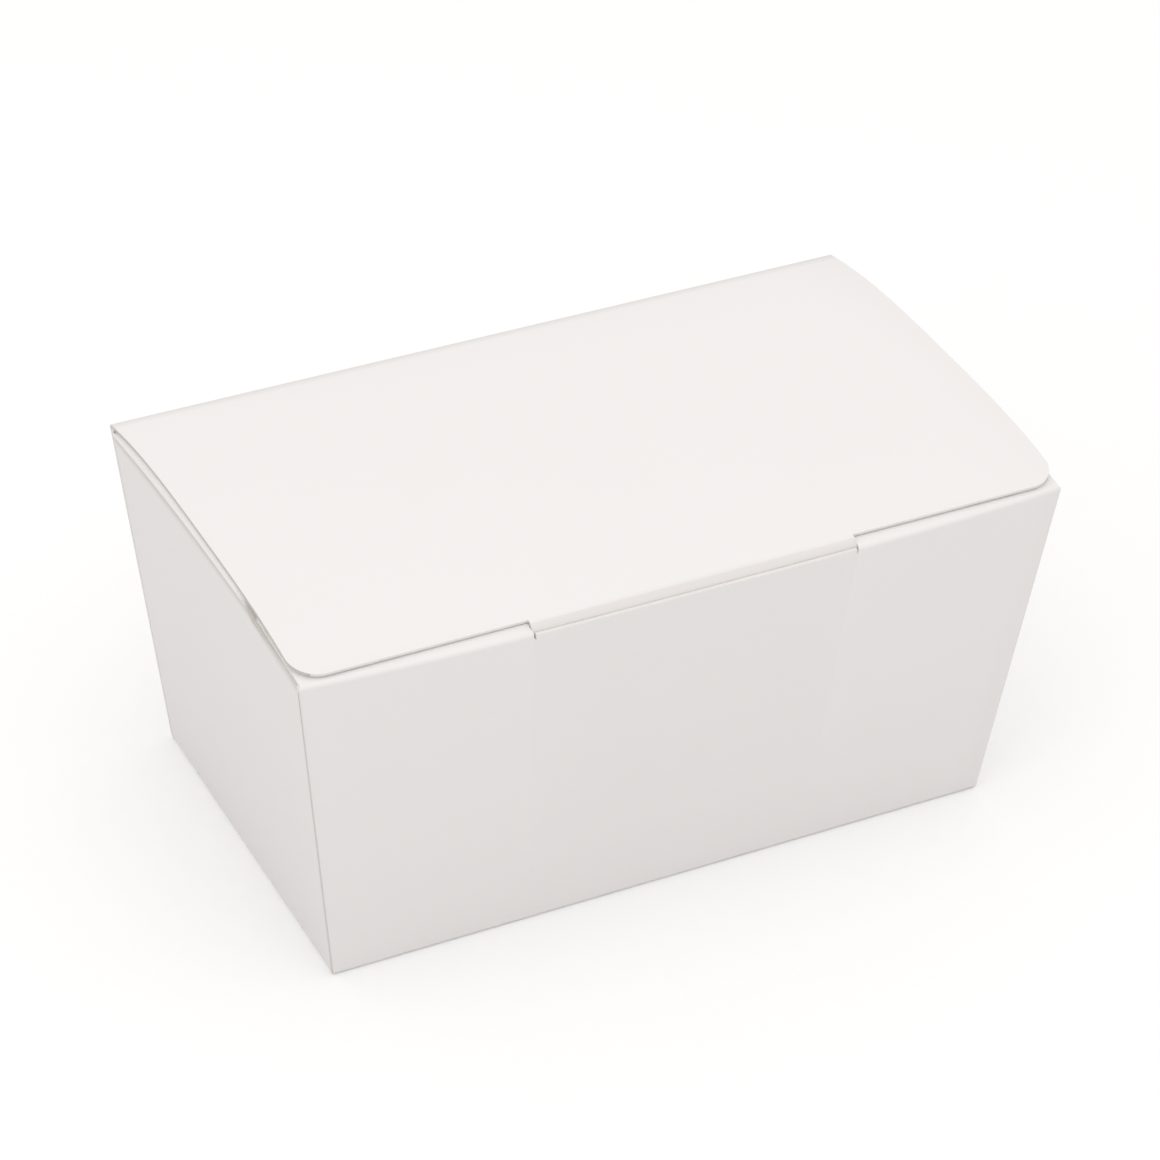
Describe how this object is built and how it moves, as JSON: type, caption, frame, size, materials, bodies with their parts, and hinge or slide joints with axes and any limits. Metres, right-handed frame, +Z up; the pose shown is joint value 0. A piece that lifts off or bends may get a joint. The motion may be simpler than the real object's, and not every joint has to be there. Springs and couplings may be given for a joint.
{
  "type": "candy box",
  "caption": "Folded board box with flared walls, folded-in end and front flaps, and an arched hinged lid that locks with a tongue in a slit.",
  "frame": {"origin": "middle of the flat base's underside", "axes": "+Z up, +X along the long side, the front with the tongue and slit faces -Y"},
  "size_m": [0.124, 0.0733, 0.0614],
  "materials": {
    "board": "white coated folding board, satin",
    "lid_board": "white coated folding board, satin"
  },
  "bodies": {
    "body": {"body": "board"},
    "lid": {"lid": "lid_board"}
  },
  "joints": [
    {"name": "lid_hinge", "type": "hinge", "parent": "body", "child": "lid", "pos_m": [0, 0.0355, 0.05845], "axis": [-1, 0, 0], "range_deg": [0, 180]}
  ]
}
